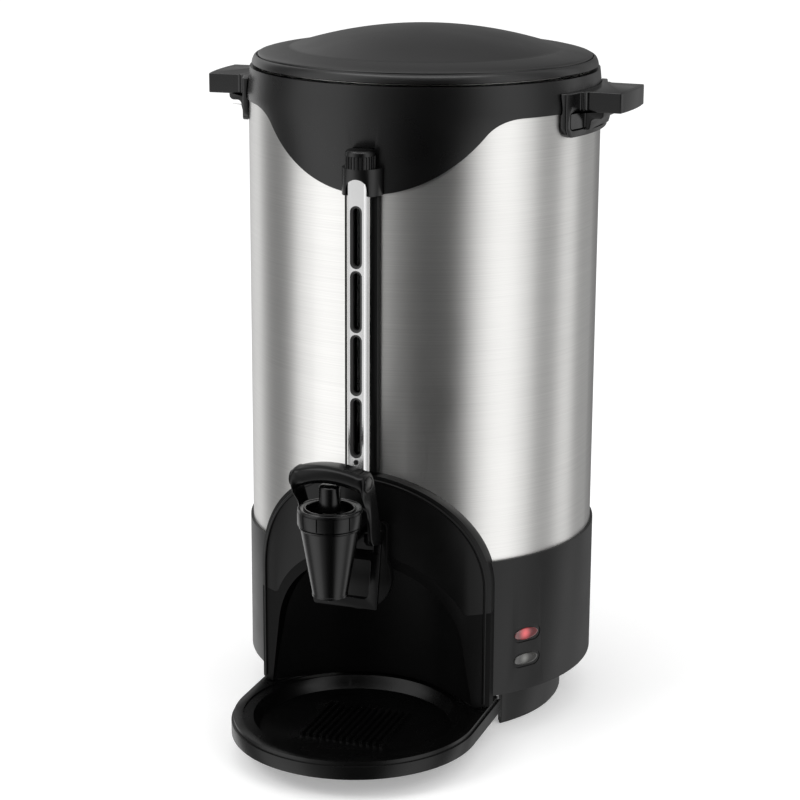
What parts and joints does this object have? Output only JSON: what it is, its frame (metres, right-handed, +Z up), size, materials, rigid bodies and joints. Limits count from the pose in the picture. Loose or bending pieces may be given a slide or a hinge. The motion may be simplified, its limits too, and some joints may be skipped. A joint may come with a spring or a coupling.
{
  "type": "coffee urn",
  "caption": "Round double-walled coffee urn with percolator, side handles, slotted sight gauge, lever tap over an arched cup niche, pull-out drip tray and lift-off lid.",
  "frame": {"origin": "on the axis of the steel body, at the level of the table it stands on", "axes": "+Z up along the body's axis, the tap and cup niche face -Y, the handles lie along X, turned 3 degrees forward"},
  "size_m": [0.311, 0.3596, 0.4933],
  "materials": {
    "brushed_steel": "fine horizontal brushing, satin",
    "black_shell": "fine satin texture",
    "black_gloss": "smooth, semi-gloss",
    "tank_steel": "drawn steel, semi-bright",
    "plated_steel": "zinc plated",
    "chrome": "polished",
    "glass": "clear",
    "rubber": "matte",
    "silicone": "matte, translucent white",
    "brass": "turned",
    "lamp_red": "clear tinted lens",
    "lamp_amber": "clear tinted lens",
    "neon": "clear bulb",
    "white_plastic": "moulded",
    "heater_alloy": "cast and drawn",
    "wire_red": "silicone insulation"
  },
  "bodies": {
    "urn": {"outer_shell": "brushed_steel", "collar": "black_shell", "inner_tank": "tank_steel", "base_shell": "black_shell", "bottom_plate": "plated_steel", "foot_ring": "black_shell", "foot_grip": "rubber", "niche_frame": "black_shell", "arch_cover": "black_shell", "handle_left": "black_gloss", "handle_right": "black_gloss", "handle_plates": "plated_steel", "handle_screws": "plated_steel", "gauge_channel": "black_shell", "gauge_cover": "chrome", "gauge_glass": "glass", "gauge_holder": "black_shell", "gauge_cap": "black_shell", "gauge_elbow": "brass", "gauge_seals": "rubber", "gauge_screw": "plated_steel", "tap_plate": "black_gloss", "tap_shank": "plated_steel", "tap_nut": "plated_steel", "tap_washers": "rubber", "tap_body": "black_gloss", "tap_bonnet": "white_plastic", "tap_ring": "black_gloss", "lever_pins": "plated_steel", "tray_rails": "plated_steel", "base_screws": "plated_steel", "plate_screws": "plated_steel", "lamp_lens_red": "lamp_red", "lamp_lens_amber": "lamp_amber", "lamp_bulbs": "neon", "lamp_holders": "white_plastic", "heater_plate": "heater_alloy", "heater_element": "heater_alloy", "heater_clamp": "plated_steel", "thermostats": "white_plastic", "thermal_fuse": "white_plastic", "terminal_block": "white_plastic", "wires": "wire_red", "cord_gland": "black_shell", "gland_nut": "black_shell", "tap_spring": "plated_steel"},
    "lid": {"lid_shell": "black_gloss", "lid_liner": "tank_steel", "lid_seal": "silicone"},
    "tray": {"drip_tray": "black_gloss"},
    "lever": {"tap_lever": "black_gloss"},
    "valve": {"plunger": "black_gloss", "seat_seal": "silicone"},
    "pump": {"pump_tube": "tank_steel"},
    "basket": {"coffee_basket": "tank_steel"},
    "spreader": {"basket_lid": "tank_steel"}
  },
  "joints": [
    {"name": "lid_lift", "type": "slide", "parent": "urn", "child": "lid", "axis": [0, 0, 1], "range_m": [0, 0.15]},
    {"name": "tray_pull", "type": "slide", "parent": "urn", "child": "tray", "axis": [0, -1, 0], "range_m": [0, 0.18]},
    {"name": "lever_press", "type": "hinge", "parent": "urn", "child": "lever", "pos_m": [0, -0.152, 0.163], "axis": [1, 0, 0], "range_deg": [0, 8], "stiffness_Nm_per_rad": 0.4, "springref_deg": -3.44},
    {"name": "valve_slide", "type": "slide", "parent": "urn", "child": "valve", "axis": [0, 0, -1], "range_m": [0, 0.0058], "deforming": ["tap_spring"]},
    {"name": "pump_lift", "type": "slide", "parent": "urn", "child": "pump", "axis": [0, 0, 1], "range_m": [0, 0.01]},
    {"name": "basket_lift", "type": "slide", "parent": "pump", "child": "basket", "axis": [0, 0, 1], "range_m": [0, 0.008]},
    {"name": "spreader_lift", "type": "slide", "parent": "basket", "child": "spreader", "axis": [0, 0, 1], "range_m": [0, 0.006]}
  ],
  "couplings": [
    {"joint": "valve_slide", "follows": "lever_press", "m_per_rad": 0.041}
  ]
}
